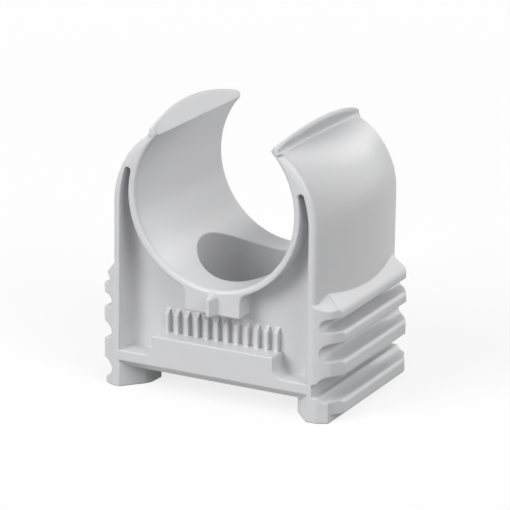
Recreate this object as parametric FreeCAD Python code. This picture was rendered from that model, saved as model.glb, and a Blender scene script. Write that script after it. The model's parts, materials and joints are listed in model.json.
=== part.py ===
import FreeCAD, Part
import math
import os

# Snap-in clip for a 16 mm conduit, moulded in one piece.
# Frame: X across the pipe, Y along the pipe (front face at -Y), Z up.
# The origin is on the axis of the screw hole, in the plane that the clip is mounted on.
# All lengths are in millimetres.

# Pipe seat
PIPE_DIAMETER = 16.0
AXIS_HEIGHT = 18.9
CLIP_DEPTH = 17.0
BORE_EDGE_ROUND = 0.35
MOUTH_HALF_ANGLE = 45.0

# Arms and side walls
WALL_BULGE = 1.2
SHOULDER_DROP = 1.25
BODY_EDGE_ROUND = 0.67

# Lead-in lips on the ends of the arms, which run slightly down and to the left from front to back
LIP_LEAN = 60.0
LIP_ROOT_RISE = 5.85
LIP_FALL = 0.5
LIP_SHIFT = 0.35
LIP_HEIGHT_ENDS = 0.85
LIP_HEIGHT_MIDDLE = 2.14
LIP_THICKNESS = 0.5
LIP_EDGE_BEVEL = 0.18
LIP_ROOT_FILLET = 0.45

# Recess behind the front and back rims
RIM_WIDTH = 0.65
SLOT_WIDTH = 0.93
UPRIGHT_WIDTH = 0.66
RECESS_DEPTH = 2.0
RECESS_FILLET = 0.9
SLOT_TOP_RISE = 1.95
SLOT_TOP_WIDTH = 0.66
LEDGE_HEIGHT = 5.5
LEDGE_HALF_WIDTH = 6.2
POCKET_FLOOR_HEIGHT = 3.57
POCKET_ROUND = 1.0
BASE_UNDERSIDE = 1.94
BASE_CHAMFER = 0.66

# Tab under the ring and its pointer
TAB_HALF_WIDTH = 2.8
TAB_BOTTOM_HEIGHT = 8.57
TAB_ROOT_ROUND = 0.9
POINTER_HALF_WIDTH = 0.57
POINTER_TIP_HALF_WIDTH = 0.18
POINTER_REACH = 0.86
POINTER_TOP_HEIGHT = 10.72
POINTER_TOP_SLOPE = 0.5
POINTER_ROOF_DROP = 0.45
POINTER_TIP_DROP = 0.02
POINTER_RIDGE_SHARE = 0.6

# Ribs of the scale on the front panel
SCALE_RIB_COUNT = 12
SCALE_RIB_PITCH = 1.02
SCALE_RIB_WIDTH = 0.46
SCALE_RIB_REACH = 0.45
SCALE_RIB_TOP_HEIGHT = 7.75
SCALE_SHIFT = 0.1

# Screw access
SHAFT_DIAMETER = 10.8
SCREW_DIAMETER = 4.0
SCREW_CLEARANCE = 0.3
SHAFT_FLOOR_HEIGHT = 3.5
BOSS_DIAMETER = 5.9

# Hollow underside
TUBE_WALL = 1.0
PANEL_WALL = 1.1
RING_WALL = 1.0
SIDE_WALL = 1.24
CAVITY_TOP_DROP = 3.0

# Joining rails on both sides: teeth on the right, matching grooves on the left.
# A reach counts outward from the front corner of the side wall, and an inset counts inward.
JOIN_GAP = 0.15
TOOTH_REACH = 2.18
TOP_TOOTH_REACH = 1.96
LEFT_TOOTH_REACH = 1.56
GROOVE_FLOOR_REACH = 0.46
LOW_GROOVE_FLOOR_REACH = 0.16
LEFT_GROOVE_FLOOR_REACH = 0.19
RAIL_ROOT_INSET = 0.64
RAIL_SLOPE_ANGLE = 43.7
TOP_CREST_HEIGHT = 0.66
TOP_CREST_ROUND = 0.3
TOP_TOOTH_BOTTOM = 9.7
TOOTH_SPANS = ((7.4, 8.45), (4.3, 5.7), (0.65, 1.95))
LEFT_GROOVE_SPANS = ((7.35, 8.65), (4.25, 5.85), (0.6, 2.35))
TOOTH_TOP_ROUND = 0.42
TOOTH_BOTTOM_BEVEL = 0.12
HOOK_TIP_REACH = 0.86
HOOK_TIP_THICKNESS = 0.1
HOOK_TOP_ANGLE = 49.5
HOOK_CORNER = 0.15
BEVEL_REACH = 0.84
BEVEL_SET_BACK = 1.13
BEVEL_RISE = 0.67
BEVEL_TURN = 42.5
BEVEL_TILT = 43.9
LATCH_SLOT_INSET = 0.12
LATCH_SLOT_SPAN = (2.4, 3.57)
RAIL_END_INSET = 0.04
RAIL_END_ROUND_REACH = 1.36
RAIL_END_ROUND_SET_BACK = 0.9
RAIL_END_BULGE = 0.08
RAIL_END_SET_BACK = 2.1

# Feet
FOOT_REACH = 1.36
LEFT_FOOT_REACH = 1.06
FOOT_WIDTH = 4.15
FOOT_LENGTH = 4.2
FOOT_CORNER_REACH = 0.41
FOOT_CORNER_SET_BACK = 0.5
FOOT_SLANT_TAPER = 0.4
FOOT_SLANT_SET_BACK = 1.95
FOOT_TURN_TAPER = 0.1
FOOT_TURN_SET_BACK = 2.5
SKIRT_INSET = 0.04
SKIRT_SET_BACK = 1.0

# Number of flats in the small rounds that run along the bore and the lips
ROUND_FLATS = 3

V = FreeCAD.Vector

BORE_RADIUS = PIPE_DIAMETER / 2
HALF_DEPTH = CLIP_DEPTH / 2
BODY_HALF_WIDTH = BORE_RADIUS + RIM_WIDTH + SLOT_WIDTH + UPRIGHT_WIDTH
CREST_X = BODY_HALF_WIDTH + TOOTH_REACH
TOP_CREST_X = BODY_HALF_WIDTH + TOP_TOOTH_REACH
RAIL_ROOT_X = BODY_HALF_WIDTH - RAIL_ROOT_INSET
LEFT_GROOVE_FLOOR_X = BODY_HALF_WIDTH + LEFT_GROOVE_FLOOR_REACH
JOIN_PITCH = CREST_X + LEFT_GROOVE_FLOOR_X + JOIN_GAP
LEFT_TOP_TOOTH_TOP = TOP_TOOTH_BOTTOM - JOIN_GAP / 3
MARGIN = 2.0
TOLERANCE = 1e-4


def point(x, height):
    return V(x, 0, height)


def corner_via(size):
    """Distance from a square corner to the middle of its quarter round, along each side."""
    return size * (1 - math.sqrt(0.5))


def round_middle(corner, first, second, size):
    """Middle of the round that meets both sides at the given distance from their corner."""
    half_angle = first.getAngle(second) / 2
    bisector = (first + second).normalize()
    return corner + bisector * (size * (1 / math.cos(half_angle) - math.tan(half_angle)))


def flats(first, middle, last):
    """Points of a small round from its first to its last point, as a few flats."""
    arc = Part.Arc(first, middle, last)
    low, high = arc.FirstParameter, arc.LastParameter
    points = [arc.value(low + (high - low) * i / ROUND_FLATS) for i in range(ROUND_FLATS + 1)]
    if points[0].distanceToPoint(first) > points[-1].distanceToPoint(first):
        points.reverse()
    return points


def outline(start, steps):
    """Closed wire in a plane of constant Y from (x, height) steps.

    A step of one pair is a straight run, and a step of two pairs is an arc
    through the first pair to the second.
    """
    edges = []
    here = point(*start)
    for step in steps + [(start,)]:
        there = point(*step[-1])
        if here.distanceToPoint(there) < TOLERANCE:
            continue
        if len(step) == 1:
            edges.append(Part.LineSegment(here, there).toShape())
        else:
            edges.append(Part.Arc(here, point(*step[0]), there).toShape())
        here = there
    return Part.Wire(edges)


def bar(start, steps, y_from, y_to):
    """Solid of the outline, running along the pipe from y_from to y_to."""
    face = Part.Face(outline(start, steps))
    face.translate(V(0, y_from, 0))
    return face.extrude(V(0, y_to - y_from, 0))


def plan_block(points, low, high):
    """Upright solid over a closed polygon of (x, y) points."""
    corners = [V(x, y, low) for x, y in points]
    wire = Part.makePolygon(corners + [corners[0]])
    return Part.Face(wire).extrude(V(0, 0, high - low))


def upright_cylinder(radius, low, high):
    return Part.makeCylinder(radius, high - low, V(0, 0, low))


def mirror_x(shape):
    return shape.mirror(V(0, 0, 0), V(1, 0, 0))


def mirror_y(shape):
    return shape.mirror(V(0, 0, 0), V(0, 1, 0))


def on_circle(radius, degrees, centre_x=0.0, centre_height=AXIS_HEIGHT):
    angle = math.radians(degrees)
    return (centre_x + radius * math.cos(angle), centre_height + radius * math.sin(angle))


def shoulder_arc(wall_x, end):
    """Arc that leaves the wall upright and ends at a point: its centre and radius."""
    reach = wall_x - end.x
    rise = end.z - (AXIS_HEIGHT - SHOULDER_DROP)
    radius = (reach * reach + rise * rise) / (2 * reach)
    return wall_x - radius, radius


def lip_up():
    lean = math.radians(LIP_LEAN)
    return V(math.cos(lean), 0, math.sin(lean))


def lip_out():
    lean = math.radians(LIP_LEAN)
    return V(math.sin(lean), 0, -math.cos(lean))


def mouth_edge():
    """Right edge of the mouth, where the lip's inner face leaves the bore at the front."""
    return point(*on_circle(BORE_RADIUS, 90 - MOUTH_HALF_ANGLE))


def lip_root():
    """Foot of the right lip's outer face at the front, at the top of the arm."""
    base = mouth_edge() + lip_out() * LIP_THICKNESS
    rise = AXIS_HEIGHT + LIP_ROOT_RISE - base.z
    return base + lip_up() * (rise / lip_up().z)


def lip_drift(y):
    """How far the lips have moved at this depth, counted from the front plane."""
    return V(-LIP_SHIFT, CLIP_DEPTH, -LIP_FALL) * ((y + HALF_DEPTH) / CLIP_DEPTH)


def body_section(y, wall_x):
    """Outer section of the body across the pipe, with its two shoulders."""
    low = BASE_UNDERSIDE - MARGIN
    shoulder = AXIS_HEIGHT - SHOULDER_DROP
    drift = lip_drift(y)
    steps = [((wall_x, shoulder),)]
    for side in (1, -1):
        root = lip_root()
        root.x += side * drift.x
        root.z += drift.z
        centre_x, radius = shoulder_arc(wall_x, root)
        half_way = math.degrees(math.atan2(root.z - shoulder, root.x - centre_x)) / 2
        middle_x, middle_height = on_circle(radius, half_way, centre_x, shoulder)
        top = (side * root.x, root.z)
        via = (side * middle_x, middle_height)
        if side > 0:
            steps += [(via, top)]
        else:
            steps += [(top,), (via, (-wall_x, shoulder))]
    steps += [((-wall_x, low),)]
    wire = outline((wall_x, low), steps)
    wire.translate(V(0, y, 0))
    return wire


def body_block():
    """Barrel-sided block between the front and back planes, edges rounded."""
    wires = [body_section(-HALF_DEPTH, BODY_HALF_WIDTH),
             body_section(0, BODY_HALF_WIDTH + WALL_BULGE),
             body_section(HALF_DEPTH, BODY_HALF_WIDTH)]
    block = Part.makeLoft(wires, True, False)
    outer = []
    for edge in block.Edges:
        box = edge.BoundBox
        on_end = box.YLength < TOLERANCE
        level = box.ZLength < TOLERANCE
        if on_end and not level:
            outer.append(edge)
    block = block.makeFillet(BODY_EDGE_ROUND, outer)
    top = AXIS_HEIGHT + LIP_ROOT_RISE + MARGIN
    wide = BODY_HALF_WIDTH + WALL_BULGE + MARGIN
    keep = Part.makeBox(2 * wide, CLIP_DEPTH + 2 * MARGIN, top - BASE_UNDERSIDE,
                        V(-wide, -HALF_DEPTH - MARGIN, BASE_UNDERSIDE))
    return block.common(keep)


def lip_section():
    """Section of the right lip: a leaning blade with a fillet where it meets the arm."""
    edge = mouth_edge()
    root = lip_root()
    tip = edge + lip_up() * (LIP_HEIGHT_MIDDLE + MARGIN)
    centre_x, radius = shoulder_arc(BODY_HALF_WIDTH, root)
    shoulder = AXIS_HEIGHT - SHOULDER_DROP
    root_angle = math.degrees(math.atan2(root.z - shoulder, root.x - centre_x))
    fillet_end = point(*on_circle(radius, root_angle - math.degrees(LIP_ROOT_FILLET / radius),
                                  centre_x, shoulder))
    down = (fillet_end - root).normalize()
    fillet_middle = round_middle(root, lip_up(), down, LIP_ROOT_FILLET)
    fillet_top = root + lip_up() * LIP_ROOT_FILLET
    low = edge - lip_up() * LIP_HEIGHT_ENDS
    corners = [low, tip, tip + lip_out() * LIP_THICKNESS]
    corners += flats(fillet_top, fillet_middle, fillet_end)
    return Part.makePolygon(corners + [low])


def lip(side):
    """Lead-in lip with its arched top, on the right for a side of 1 and on the left for -1."""
    section = lip_section()
    edge = mouth_edge()
    down = lip_up() * -2 * MARGIN
    ends = edge + lip_up() * LIP_HEIGHT_ENDS
    crown = edge + lip_up() * LIP_HEIGHT_MIDDLE
    out = lip_out()
    if side < 0:
        section = mirror_x(section)
        edge, ends, crown, out, down = [V(-v.x, v.y, v.z) for v in (edge, ends, crown, out, down)]
    front = lip_drift(-HALF_DEPTH) - V(0, HALF_DEPTH, 0)
    middle = lip_drift(0) - V(0, HALF_DEPTH, 0)
    back = lip_drift(HALF_DEPTH) - V(0, HALF_DEPTH, 0)
    section.translate(front)
    blade = Part.Face(section).extrude(back - front)
    arch = Part.Wire([
        Part.LineSegment(edge + down + front, ends + front).toShape(),
        Part.Arc(ends + front, crown + middle, ends + back).toShape(),
        Part.LineSegment(ends + back, edge + down + back).toShape(),
        Part.LineSegment(edge + down + back, edge + down + front).toShape()])
    stencil = Part.Face(arch)
    stencil.translate(out * -MARGIN)
    shape = blade.common(stencil.extrude(out * (MARGIN * 4)))
    arched = []
    for rim in shape.Edges:
        along = (rim.FirstParameter + rim.LastParameter) / 2
        ends_height = max(vertex.Z for vertex in rim.Vertexes)
        if rim.valueAt(along).z > ends_height + LIP_EDGE_BEVEL:
            arched.append(rim)
    return shape.makeChamfer(LIP_EDGE_BEVEL, arched)


def bore():
    """Pipe bore with a small rounding at its front and back edge."""
    flare = BORE_RADIUS + BORE_EDGE_ROUND
    far = HALF_DEPTH + MARGIN
    start = HALF_DEPTH - BORE_EDGE_ROUND
    lag = corner_via(BORE_EDGE_ROUND)
    back = flats(V(BORE_RADIUS, start, 0), V(BORE_RADIUS + lag, HALF_DEPTH - lag, 0),
                 V(flare, HALF_DEPTH, 0))
    half = back + [V(flare, far, 0), V(0, far, 0)]
    corners = half + [V(corner.x, -corner.y, 0) for corner in reversed(half)]
    turned = Part.Face(Part.makePolygon(corners + [corners[0]])).revolve(V(0, 0, 0), V(0, 1, 0), 360)
    turned.translate(V(0, 0, AXIS_HEIGHT))
    return turned


def mouth():
    """Opening above the pipe, with both lead-in faces leaning outward."""
    edge = mouth_edge()
    top = edge + lip_up() * (LIP_HEIGHT_MIDDLE + 2 * MARGIN)
    corners = [edge, top, V(-top.x, 0, top.z), V(-edge.x, 0, edge.z)]
    face = Part.Face(Part.makePolygon(corners + [corners[0]]))
    start = lip_drift(-HALF_DEPTH - MARGIN) - V(0, HALF_DEPTH, 0)
    face.translate(start)
    return face.extrude(lip_drift(HALF_DEPTH + 2 * MARGIN))


def tab():
    """Tab that hangs from the ring, as a bar through the front recess."""
    rim = BORE_RADIUS + RIM_WIDTH
    reach = rim + TAB_ROOT_ROUND
    swing = math.degrees(math.asin((TAB_HALF_WIDTH + TAB_ROOT_ROUND) / reach))
    centre = on_circle(reach, swing - 90)
    touch = on_circle(rim, swing - 90)
    via = on_circle(TAB_ROOT_ROUND, 135 + swing / 2, *centre)
    return bar((TAB_HALF_WIDTH, TAB_BOTTOM_HEIGHT), [
        ((TAB_HALF_WIDTH, centre[1]),),
        (via, touch),
        ((-touch[0], touch[1]),),
        ((-via[0], via[1]), (-TAB_HALF_WIDTH, centre[1])),
        ((-TAB_HALF_WIDTH, TAB_BOTTOM_HEIGHT),)], -HALF_DEPTH - MARGIN, 0)


def recess_corners(cut):
    """Edges where the uprights' inner sides meet the panel."""
    corners = []
    for edge in cut.Edges:
        box = edge.BoundBox
        at_panel = box.YLength < TOLERANCE and box.YMax > RECESS_DEPTH - HALF_DEPTH - TOLERANCE
        upright = abs(box.Center.x) > BORE_RADIUS and box.ZLength > RECESS_FILLET
        if at_panel and upright:
            corners.append(edge)
    return corners


def recess(rounded):
    """Cut that leaves the rim, the uprights, the ledge and the tab standing at the front."""
    wall = BODY_HALF_WIDTH - UPRIGHT_WIDTH
    shoulder = AXIS_HEIGHT - SHOULDER_DROP
    rim = BORE_RADIUS + RIM_WIDTH
    slot_height = AXIS_HEIGHT + SLOT_TOP_RISE
    slot_inner_x = math.sqrt(rim * rim - SLOT_TOP_RISE * SLOT_TOP_RISE)
    slot_outer_x = slot_inner_x + SLOT_TOP_WIDTH
    centre_x, radius = shoulder_arc(wall, point(slot_outer_x, slot_height))
    slot_turn = math.degrees(math.asin((slot_height - shoulder) / radius))
    slot_bend = on_circle(radius, slot_turn / 2, centre_x, shoulder)
    pocket_x = LEDGE_HALF_WIDTH + POCKET_ROUND
    bend = corner_via(POCKET_ROUND)
    via = (LEDGE_HALF_WIDTH + bend, POCKET_FLOOR_HEIGHT + bend)
    pocket_top = POCKET_FLOOR_HEIGHT + POCKET_ROUND
    front = -HALF_DEPTH - MARGIN
    cut = bar((LEDGE_HALF_WIDTH, LEDGE_HEIGHT), [
        ((LEDGE_HALF_WIDTH, pocket_top),),
        (via, (pocket_x, POCKET_FLOOR_HEIGHT)),
        ((wall, POCKET_FLOOR_HEIGHT),),
        ((wall, shoulder),),
        (slot_bend, (slot_outer_x, slot_height)),
        ((-slot_outer_x, slot_height),),
        ((-slot_bend[0], slot_bend[1]), (-wall, shoulder)),
        ((-wall, POCKET_FLOOR_HEIGHT),),
        ((-pocket_x, POCKET_FLOOR_HEIGHT),),
        ((-via[0], via[1]), (-LEDGE_HALF_WIDTH, pocket_top)),
        ((-LEDGE_HALF_WIDTH, LEDGE_HEIGHT),)], front, RECESS_DEPTH - HALF_DEPTH)
    if rounded:
        cut = cut.makeFillet(RECESS_FILLET, recess_corners(cut))
    ring = Part.makeCylinder(rim, CLIP_DEPTH, V(0, front, AXIS_HEIGHT), V(0, 1, 0))
    cut = cut.cut([ring, tab()])
    for side in (-1, 1):
        middle_x = side * (slot_inner_x + slot_outer_x) / 2
        end = Part.makeCylinder(SLOT_TOP_WIDTH / 2, RECESS_DEPTH + MARGIN,
                                V(middle_x, front, slot_height), V(0, 1, 0))
        cut = cut.fuse(end)
    return cut


def pointer():
    """Small pointer on the tab, narrower and flat-topped at its front."""
    low = TAB_BOTTOM_HEIGHT
    wires = []
    for half, top, drop, reach in (
            (POINTER_HALF_WIDTH, POINTER_TOP_HEIGHT, POINTER_ROOF_DROP, 0),
            (POINTER_TIP_HALF_WIDTH, POINTER_TOP_HEIGHT - POINTER_TOP_SLOPE, POINTER_TIP_DROP,
             POINTER_REACH)):
        flat = half * POINTER_RIDGE_SHARE
        wire = outline((half, low), [
            ((half, top - drop),),
            ((flat, top),),
            ((-flat, top),),
            ((-half, top - drop),),
            ((-half, low),)])
        wire.translate(V(0, -HALF_DEPTH - reach, 0))
        wires.append(wire)
    return Part.makeLoft(wires, True, True)


def scale_ribs():
    """Row of upright ribs on the front panel, standing on the ledge."""
    panel = RECESS_DEPTH - HALF_DEPTH
    embed = PANEL_WALL / 2
    ribs = []
    for index in range(SCALE_RIB_COUNT):
        x = SCALE_SHIFT + (index - (SCALE_RIB_COUNT - 1) / 2) * SCALE_RIB_PITCH
        half = SCALE_RIB_WIDTH / 2
        side = [V(x - half, panel + embed, LEDGE_HEIGHT - embed),
                V(x - half, panel - SCALE_RIB_REACH, LEDGE_HEIGHT - embed),
                V(x - half, panel - SCALE_RIB_REACH, SCALE_RIB_TOP_HEIGHT - SCALE_RIB_REACH),
                V(x - half, panel, SCALE_RIB_TOP_HEIGHT),
                V(x - half, panel + embed, SCALE_RIB_TOP_HEIGHT)]
        wire = Part.makePolygon(side + [side[0]])
        ribs.append(Part.Face(wire).extrude(V(SCALE_RIB_WIDTH, 0, 0)))
    return ribs


def tooth(crest_x, low, high):
    """Outer outline of one tooth, from its top edge down to its bottom edge."""
    lag = corner_via(TOOTH_TOP_ROUND)
    return [((crest_x - TOOTH_TOP_ROUND, high),),
            ((crest_x - lag, high - lag), (crest_x, high - TOOTH_TOP_ROUND)),
            ((crest_x, low + TOOTH_BOTTOM_BEVEL),),
            ((crest_x - TOOTH_BOTTOM_BEVEL, low),)]


def slope_point(x):
    """Point of the sloping top of the right rail."""
    rise = (TOP_CREST_X - x) * math.tan(math.radians(RAIL_SLOPE_ANGLE))
    return (x, TOP_TOOTH_BOTTOM + TOP_CREST_HEIGHT + rise)


def right_rail():
    crest = point(*slope_point(TOP_CREST_X))
    down = V(0, 0, -1)
    back_up = (point(*slope_point(RAIL_ROOT_X)) - crest).normalize()
    before = crest + back_up * TOP_CREST_ROUND
    middle = round_middle(crest, back_up, down, TOP_CREST_ROUND)
    after = crest + down * TOP_CREST_ROUND
    steps = [((before.x, before.z),),
             ((middle.x, middle.z), (after.x, after.z)),
             ((TOP_CREST_X, TOP_TOOTH_BOTTOM),)]
    for low, high in TOOTH_SPANS:
        steps += tooth(CREST_X, low, high)
    bottom = TOOTH_SPANS[-1][0]
    steps += [((RAIL_ROOT_X, bottom),)]
    return bar(slope_point(RAIL_ROOT_X), steps, -HALF_DEPTH, HALF_DEPTH)


def left_rail():
    """Counterpart rail, drawn on the right-hand side and mirrored afterwards."""
    tip_x = BODY_HALF_WIDTH + HOOK_TIP_REACH
    crest_x = BODY_HALF_WIDTH + LEFT_TOOTH_REACH
    tip_height = slope_point(JOIN_PITCH - tip_x)[1] + HOOK_TIP_THICKNESS
    steps = [((tip_x, tip_height),)]
    top = LEFT_TOP_TOOTH_TOP
    for low, high in LEFT_GROOVE_SPANS:
        steps += tooth(crest_x, high, top)
        top = low
    steps += [((RAIL_ROOT_X, top),)]
    rise = (tip_x - RAIL_ROOT_X) * math.tan(math.radians(HOOK_TOP_ANGLE))
    return bar((RAIL_ROOT_X, tip_height + rise), steps, -HALF_DEPTH, HALF_DEPTH)


def groove(floor_x, low, high):
    """Round-ended groove along the clip, open outward."""
    radius = (high - low) / 2
    centre_x = floor_x + radius
    far = CREST_X + MARGIN
    return bar((far, low), [
        ((centre_x, low),),
        ((floor_x, (low + high) / 2), (centre_x, high)),
        ((far, high),)], -HALF_DEPTH - MARGIN, HALF_DEPTH + MARGIN)


def right_grooves():
    cuts = []
    top = TOP_TOOTH_BOTTOM
    reaches = (GROOVE_FLOOR_REACH, GROOVE_FLOOR_REACH, LOW_GROOVE_FLOOR_REACH)
    for reach, (low, high) in zip(reaches, TOOTH_SPANS):
        cuts.append(groove(BODY_HALF_WIDTH + reach, high, top))
        top = low
    low, high = LATCH_SLOT_SPAN
    cuts.append(Part.makeBox(MARGIN, CLIP_DEPTH + 2 * MARGIN, high - low,
                             V(BODY_HALF_WIDTH - LATCH_SLOT_INSET, -HALF_DEPTH - MARGIN, low)))
    return cuts


def left_grooves():
    """Room for the right-hand teeth of the neighbouring clip."""
    cuts = [groove(LEFT_GROOVE_FLOOR_X, low, high) for low, high in LEFT_GROOVE_SPANS]
    top_floor_x = JOIN_PITCH - TOP_CREST_X - JOIN_GAP / 2
    crest = slope_point(TOP_CREST_X)
    bottom = LEFT_TOP_TOOTH_TOP
    mouth_x = CREST_X + MARGIN
    mouth_height = slope_point(JOIN_PITCH - mouth_x)[1]
    cuts.append(bar((mouth_x, bottom), [
        ((top_floor_x, bottom),),
        ((top_floor_x, crest[1] - HOOK_TIP_THICKNESS),),
        ((top_floor_x + HOOK_CORNER, crest[1] + HOOK_CORNER),),
        ((mouth_x, mouth_height + HOOK_TIP_THICKNESS),)], -HALF_DEPTH - MARGIN, HALF_DEPTH + MARGIN))
    return [mirror_x(cut) for cut in cuts]


def rail_plan():
    """Plan of both rails, with their front and back ends drawn in."""
    start = V(BODY_HALF_WIDTH - RAIL_END_INSET, -HALF_DEPTH, 0)
    turn = V(BODY_HALF_WIDTH + RAIL_END_ROUND_REACH, RAIL_END_ROUND_SET_BACK - HALF_DEPTH, 0)
    run = (turn - start).normalize()
    via = (start + turn) / 2 + V(run.y, -run.x, 0) * RAIL_END_BULGE
    crest = V(CREST_X, RAIL_END_SET_BACK - HALF_DEPTH, 0)
    edges = []

    def quarter(side, end):
        def put(v):
            return V(side * v.x, end * v.y, 0)
        return [Part.LineSegment(V(0, end * -HALF_DEPTH, 0), put(start)).toShape(),
                Part.Arc(put(start), put(via), put(turn)).toShape(),
                Part.LineSegment(put(turn), put(crest)).toShape(),
                Part.LineSegment(put(crest), V(side * crest.x, 0, 0)).toShape()]

    for side in (-1, 1):
        for end in (-1, 1):
            edges += quarter(side, end)
    wire = Part.Wire(Part.sortEdges(edges)[0])
    return Part.Face(wire).extrude(V(0, 0, AXIS_HEIGHT))


def top_tooth_bevel():
    """Facet that takes the corner off the front end of the top tooth, right side."""
    turn = math.radians(BEVEL_TURN)
    tilt = math.radians(BEVEL_TILT)
    normal = V(math.cos(turn) * math.cos(tilt), -math.sin(turn) * math.cos(tilt), math.sin(tilt))
    side = V(math.sin(turn), math.cos(turn), 0)
    across = normal.cross(side)
    middle = V(BODY_HALF_WIDTH + BEVEL_REACH, BEVEL_SET_BACK - HALF_DEPTH,
               TOP_TOOTH_BOTTOM + TOP_CREST_HEIGHT + BEVEL_RISE)
    reach = 2 * MARGIN
    corners = [middle + side * (i * reach) + across * (j * reach)
               for i, j in ((-1, -1), (1, -1), (1, 1), (-1, 1))]
    wire = Part.makePolygon(corners + [corners[0]])
    return Part.Face(wire).extrude(normal * reach)


def foot(reach, top):
    """Front corner foot up to a height, drawn on the right-hand side."""
    outer = BODY_HALF_WIDTH + reach
    inner = BODY_HALF_WIDTH + FOOT_REACH - FOOT_WIDTH
    front = -HALF_DEPTH
    plan = [(outer, front + FOOT_CORNER_SET_BACK),
            (BODY_HALF_WIDTH + FOOT_CORNER_REACH, front),
            (RAIL_ROOT_X, front),
            (inner + FOOT_SLANT_TAPER, front + FOOT_SLANT_SET_BACK),
            (inner + FOOT_TURN_TAPER, front + FOOT_TURN_SET_BACK),
            (inner, front + FOOT_LENGTH),
            (outer, front + FOOT_LENGTH)]
    return plan_block(plan, 0, top)


def side_feet(reach):
    """Two corner feet and the low skirt between them, drawn on the right-hand side."""
    top = LATCH_SLOT_SPAN[0]
    front_foot = foot(reach, top)
    skirt_x = BODY_HALF_WIDTH - SKIRT_INSET
    skirt_y = HALF_DEPTH - SKIRT_SET_BACK
    outer = BODY_HALF_WIDTH + reach
    skirt = [(skirt_x, -skirt_y), (outer, -skirt_y), (outer, skirt_y), (skirt_x, skirt_y)]
    return [front_foot, mirror_y(front_foot), plan_block(skirt, 0, top)]


def feet():
    """Feet of both sides; the left ones follow the rounded ends of the rail."""
    ends = rail_plan()
    left = [mirror_x(part).common(ends) for part in side_feet(LEFT_FOOT_REACH)]
    return side_feet(FOOT_REACH) + left


def cavities():
    """Hollows in the underside, between the screw tube, the feet and the side walls."""
    reach = HALF_DEPTH - RECESS_DEPTH - PANEL_WALL
    top = AXIS_HEIGHT - CAVITY_TOP_DROP
    half_width = BODY_HALF_WIDTH - SIDE_WALL
    block = Part.makeBox(2 * half_width, 2 * reach, top, V(-half_width, -reach, 0))
    tube = upright_cylinder(SHAFT_DIAMETER / 2 + TUBE_WALL, -MARGIN, AXIS_HEIGHT)
    ring = Part.makeCylinder(BORE_RADIUS + RING_WALL, CLIP_DEPTH, V(0, -HALF_DEPTH, AXIS_HEIGHT), V(0, 1, 0))
    corner = foot(FOOT_REACH, top)
    front_corners = corner.fuse(mirror_x(corner))
    return block.cut([tube, ring, front_corners, mirror_y(front_corners)])


def base_chamfers():
    """Bevel along the lower front and back edge of the base."""
    wide = CREST_X + MARGIN
    size = BASE_CHAMFER
    corners = [V(-wide, -HALF_DEPTH - MARGIN, BASE_UNDERSIDE - MARGIN),
               V(-wide, -HALF_DEPTH + size + MARGIN, BASE_UNDERSIDE - MARGIN),
               V(-wide, -HALF_DEPTH - MARGIN, BASE_UNDERSIDE + size + MARGIN)]
    wire = Part.makePolygon(corners + [corners[0]])
    front = Part.Face(wire).extrude(V(2 * wide, 0, 0))
    return [front, mirror_y(front)]


def clip_body():
    block = body_block()
    block = block.cut(base_chamfers())
    right = right_rail().cut(top_tooth_bevel())
    right = right.cut(mirror_y(top_tooth_bevel()))
    rails = right.fuse(mirror_x(left_rail())).common(rail_plan())
    shape = block.fuse(rails)
    shape = shape.fuse(feet())
    shape = shape.cut(right_grooves() + left_grooves())
    shape = shape.fuse([lip(1), lip(-1)])
    shape = shape.cut([bore(), mouth(), recess(True), mirror_y(recess(False))])
    shaft = upright_cylinder(SHAFT_DIAMETER / 2, SHAFT_FLOOR_HEIGHT, AXIS_HEIGHT)
    shape = shape.cut([shaft, cavities()])
    boss = upright_cylinder(BOSS_DIAMETER / 2, 0, SHAFT_FLOOR_HEIGHT)
    shape = shape.fuse([boss])
    hole = upright_cylinder((SCREW_DIAMETER + SCREW_CLEARANCE) / 2, -MARGIN,
                            SHAFT_FLOOR_HEIGHT + MARGIN)
    shape = shape.cut(hole)
    shape = shape.fuse([pointer()] + scale_ribs())
    return shape.removeSplitter()


def main():
    os.makedirs("parts", exist_ok=True)
    shape = clip_body()
    print("solids", len(shape.Solids), "valid", shape.isValid(), "volume", round(shape.Volume, 1))
    solid = shape.Solids[0]
    solid.exportStep("parts/clip_body.step")


main()
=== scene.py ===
import json
import math

import bpy
from mathutils import Matrix, Vector

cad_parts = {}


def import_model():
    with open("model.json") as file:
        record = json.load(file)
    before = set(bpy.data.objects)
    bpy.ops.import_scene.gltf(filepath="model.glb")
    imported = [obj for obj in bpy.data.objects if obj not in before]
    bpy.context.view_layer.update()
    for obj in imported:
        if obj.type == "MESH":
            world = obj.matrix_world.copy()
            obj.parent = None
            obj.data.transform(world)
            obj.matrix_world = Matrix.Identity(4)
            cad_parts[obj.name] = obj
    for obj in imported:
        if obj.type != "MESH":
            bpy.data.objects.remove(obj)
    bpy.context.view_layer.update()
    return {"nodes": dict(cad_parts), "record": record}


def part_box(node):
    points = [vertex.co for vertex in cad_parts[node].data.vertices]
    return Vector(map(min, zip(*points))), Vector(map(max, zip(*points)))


MM = 0.001

# Camera, from the photograph's own viewpoint
PHOTO_SIDE = 510
FOCAL_PIXELS = 3521.0
SENSOR_WIDTH = 36.0
VIEW_AZIMUTH = 27.09
VIEW_ELEVATION = 17.77
VIEW_ROLL = 0.73
VIEW_DISTANCE = 314.6 * MM
AIM_RIGHT = 3.764 * MM
AIM_DOWN = 4.450 * MM
NEAREST_SEEN = 0.01
FARTHEST_SEEN = 20.0

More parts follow.
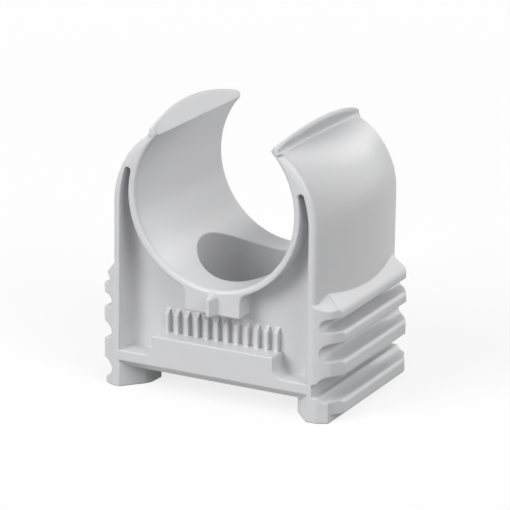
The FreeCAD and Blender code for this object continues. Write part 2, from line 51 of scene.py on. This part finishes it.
# Moulded light grey plastic
PLASTIC_COLOUR = (0.64, 0.642, 0.652)
PLASTIC_ROUGHNESS = 0.34
ROUGHNESS_CHANGE = 0.05
GRAIN_SIZE = 0.25 * MM
GRAIN_DETAIL = 2.0
GRAIN_DEPTH = 0.004 * MM
SHADE_SIZE = 6.0 * MM
SHADE_DETAIL = 3.0
SHADE_AMOUNT = 0.02
EDGE_ROUNDING = 0.24 * MM
EDGE_SAMPLES = 8

# Floor: white to the camera, with a faint shadow near the object, and grey in the light that it
# sends back
FLOOR_RADIUS = 3.0
FLOOR_SIDES = 96
FLOOR_COLOUR = 0.35
FLOOR_GLOW = 0.8
SHADOW_REACH = 0.03
WHITE_FROM = 0.25

# Light: a colour or strength of WHITE shows as full white
WHITE = 1.0
SKY_STRENGTH = 0.03
LAMP_DISTANCE = 0.8
LAMPS = (
    # name, azimuth, elevation, size in metres, power in watts
    ("front_lamp", -30, 28, 0.45, 4.55),
    ("high_lamp", -15, 62, 0.45, 1.05),
    ("right_lamp", 62, 38, 0.45, 2.95),
    ("top_lamp", 90, 70, 0.45, 0.7),
    ("back_lamp", 150, 16, 0.45, 0.85),
    ("shine_lamp", 170, 24, 0.25, 0.66),
    ("rear_lamp", -128, 25, 0.45, 1.1),
)


def view_axes():
    """Right, up and forward of the camera, before its position is known."""
    azimuth = math.radians(VIEW_AZIMUTH)
    elevation = math.radians(VIEW_ELEVATION)
    forward = Vector((-math.sin(azimuth) * math.cos(elevation),
                      math.cos(azimuth) * math.cos(elevation),
                      -math.sin(elevation)))
    right = forward.cross(Vector((0, 0, 1))).normalized()
    up = right.cross(forward)
    roll = math.radians(VIEW_ROLL)
    turned_right = right * math.cos(roll) + up * math.sin(roll)
    turned_up = up * math.cos(roll) - right * math.sin(roll)
    return turned_right, turned_up, forward


def pipe_seat(record):
    """Middle of the bore."""
    mount = next(m for m in record["mounts"] if m["name"] == "pipe_seat")
    return Vector(mount["pos_m"])


def add_camera(record):
    """The photograph's camera. The front face lies as far before the screw's axis as the back does
    behind it."""
    right, up, forward = view_axes()
    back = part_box("clip_body")[1].y
    seat = pipe_seat(record)
    front_centre = Vector((seat.x, -back, seat.z))
    target = front_centre + right * AIM_RIGHT - up * AIM_DOWN
    data = bpy.data.cameras.new("photo_camera")
    data.sensor_width = SENSOR_WIDTH
    data.lens = FOCAL_PIXELS / PHOTO_SIDE * SENSOR_WIDTH
    data.clip_start = NEAREST_SEEN
    data.clip_end = FARTHEST_SEEN
    camera = bpy.data.objects.new("photo_camera", data)
    bpy.context.scene.collection.objects.link(camera)
    turn = Matrix((right, up, -forward)).transposed().to_4x4()
    camera.matrix_world = Matrix.Translation(target - forward * VIEW_DISTANCE) @ turn
    bpy.context.scene.camera = camera


def new_material(name):
    material = bpy.data.materials.new(name)
    material.use_nodes = True
    nodes = material.node_tree.nodes
    return material, nodes, material.node_tree.links, nodes["Principled BSDF"]


def noise(nodes, links, place, size, detail):
    """Noise with lumps of about the given size, fixed to the object."""
    texture = nodes.new("ShaderNodeTexNoise")
    texture.inputs["Scale"].default_value = 1 / size
    texture.inputs["Detail"].default_value = detail
    links.new(place.outputs["Object"], texture.inputs["Vector"])
    return texture.outputs["Fac"]


def scaled_colour(factor):
    """The plastic's colour, made lighter or darker."""
    return (*[channel * factor for channel in PLASTIC_COLOUR], 1)


def plastic():
    """Satin moulded plastic: a fine grain, a faint unevenness, and edges that catch the light."""
    material, nodes, links, shader = new_material("light_grey_plastic")
    place = nodes.new("ShaderNodeTexCoord")

    shade = noise(nodes, links, place, SHADE_SIZE, SHADE_DETAIL)
    tones = nodes.new("ShaderNodeMix")
    tones.data_type = "RGBA"
    tones.inputs["A"].default_value = scaled_colour(1 - SHADE_AMOUNT)
    tones.inputs["B"].default_value = scaled_colour(1 + SHADE_AMOUNT)
    links.new(shade, tones.inputs["Factor"])
    links.new(tones.outputs["Result"], shader.inputs["Base Color"])
    gloss = nodes.new("ShaderNodeMapRange")
    gloss.inputs["To Min"].default_value = PLASTIC_ROUGHNESS - ROUGHNESS_CHANGE
    gloss.inputs["To Max"].default_value = PLASTIC_ROUGHNESS + ROUGHNESS_CHANGE
    links.new(shade, gloss.inputs["Value"])
    links.new(gloss.outputs["Result"], shader.inputs["Roughness"])

    grain = noise(nodes, links, place, GRAIN_SIZE, GRAIN_DETAIL)
    edges = nodes.new("ShaderNodeBevel")
    edges.samples = EDGE_SAMPLES
    edges.inputs["Radius"].default_value = EDGE_ROUNDING
    bump = nodes.new("ShaderNodeBump")
    bump.inputs["Distance"].default_value = GRAIN_DEPTH
    links.new(grain, bump.inputs["Height"])
    links.new(edges.outputs["Normal"], bump.inputs["Normal"])
    links.new(bump.outputs["Normal"], shader.inputs["Normal"])
    return material


def seen_rays(nodes, links):
    """1 for rays that see the background: from the camera, or by way of gloss or glass."""
    path = nodes.new("ShaderNodeLightPath")
    total = path.outputs["Is Camera Ray"]
    for kind in ("Is Glossy Ray", "Is Transmission Ray"):
        most = nodes.new("ShaderNodeMath")
        most.operation = "MAXIMUM"
        links.new(total, most.inputs[0])
        links.new(path.outputs[kind], most.inputs[1])
        total = most.outputs[0]
    return total


def grey(value):
    return (value, value, value, 1)


def glow_share(nodes, links):
    """Share of the glow in the floor: FLOOR_GLOW by the object, and all of it farther out."""
    place = nodes.new("ShaderNodeTexCoord")
    distance = nodes.new("ShaderNodeVectorMath")
    distance.operation = "LENGTH"
    links.new(place.outputs["Object"], distance.inputs[0])
    share = nodes.new("ShaderNodeMapRange")
    share.interpolation_type = "SMOOTHSTEP"
    share.inputs["From Min"].default_value = SHADOW_REACH
    share.inputs["From Max"].default_value = WHITE_FROM
    share.inputs["To Min"].default_value = FLOOR_GLOW
    links.new(distance.outputs["Value"], share.inputs["Value"])
    return share.outputs["Result"]


def diffuse(nodes, value):
    shader = nodes.new("ShaderNodeBsdfDiffuse")
    shader.inputs["Color"].default_value = grey(value)
    return shader


def mixed(nodes, links, share, first, second):
    """Mix of two shaders, all of the first at a share of 0 and all of the second at 1."""
    mix = nodes.new("ShaderNodeMixShader")
    links.new(share, mix.inputs["Fac"])
    links.new(first.outputs[0], mix.inputs[1])
    links.new(second.outputs[0], mix.inputs[2])
    return mix


def floor_material():
    """Part glow and part plain white where it is seen, so that a faint shadow stays, and grey in
    the light that it sends back."""
    material, nodes, links, shader = new_material("pale_floor")
    nodes.remove(shader)
    glow = nodes.new("ShaderNodeEmission")
    glow.inputs["Strength"].default_value = WHITE
    seen = mixed(nodes, links, glow_share(nodes, links), diffuse(nodes, WHITE), glow)
    surface = mixed(nodes, links, seen_rays(nodes, links), diffuse(nodes, FLOOR_COLOUR), seen)
    links.new(surface.outputs[0], nodes["Material Output"].inputs["Surface"])
    return material


def add_floor():
    bpy.ops.mesh.primitive_circle_add(vertices=FLOOR_SIDES, radius=FLOOR_RADIUS, fill_type="NGON")
    floor = bpy.context.object
    floor.name = "floor"
    floor.data.materials.append(floor_material())


def add_world():
    """Even white sky, which shows at full white behind the object."""
    world = bpy.data.worlds.new("studio")
    bpy.context.scene.world = world
    world.use_nodes = True
    nodes = world.node_tree.nodes
    links = world.node_tree.links
    sky = nodes["Background"]
    sky.inputs["Color"].default_value = grey(WHITE)
    strength = nodes.new("ShaderNodeMix")
    strength.data_type = "FLOAT"
    strength.inputs["A"].default_value = SKY_STRENGTH
    strength.inputs["B"].default_value = WHITE
    links.new(seen_rays(nodes, links), strength.inputs["Factor"])
    links.new(strength.outputs["Result"], sky.inputs["Strength"])


def add_softbox(name, azimuth, elevation, size, power):
    """Square lamp that looks at the object. An azimuth of 0 stands in front of it, 90 to its right."""
    data = bpy.data.lights.new(name, "AREA")
    data.shape = "SQUARE"
    data.size = size
    data.energy = power
    lamp = bpy.data.objects.new(name, data)
    bpy.context.scene.collection.objects.link(lamp)
    a = math.radians(azimuth)
    e = math.radians(elevation)
    away = Vector((math.sin(a) * math.cos(e), -math.cos(a) * math.cos(e), math.sin(e)))
    lamp.location = away * LAMP_DISTANCE
    lamp.rotation_euler = away.to_track_quat("Z", "Y").to_euler()


def main():
    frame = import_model()
    bpy.context.scene.view_settings.view_transform = "Standard"
    add_camera(frame["record"])
    body = frame["nodes"]["clip_body"]
    body.data.materials.clear()
    body.data.materials.append(plastic())
    add_floor()
    add_world()
    for lamp in LAMPS:
        add_softbox(*lamp)


main()
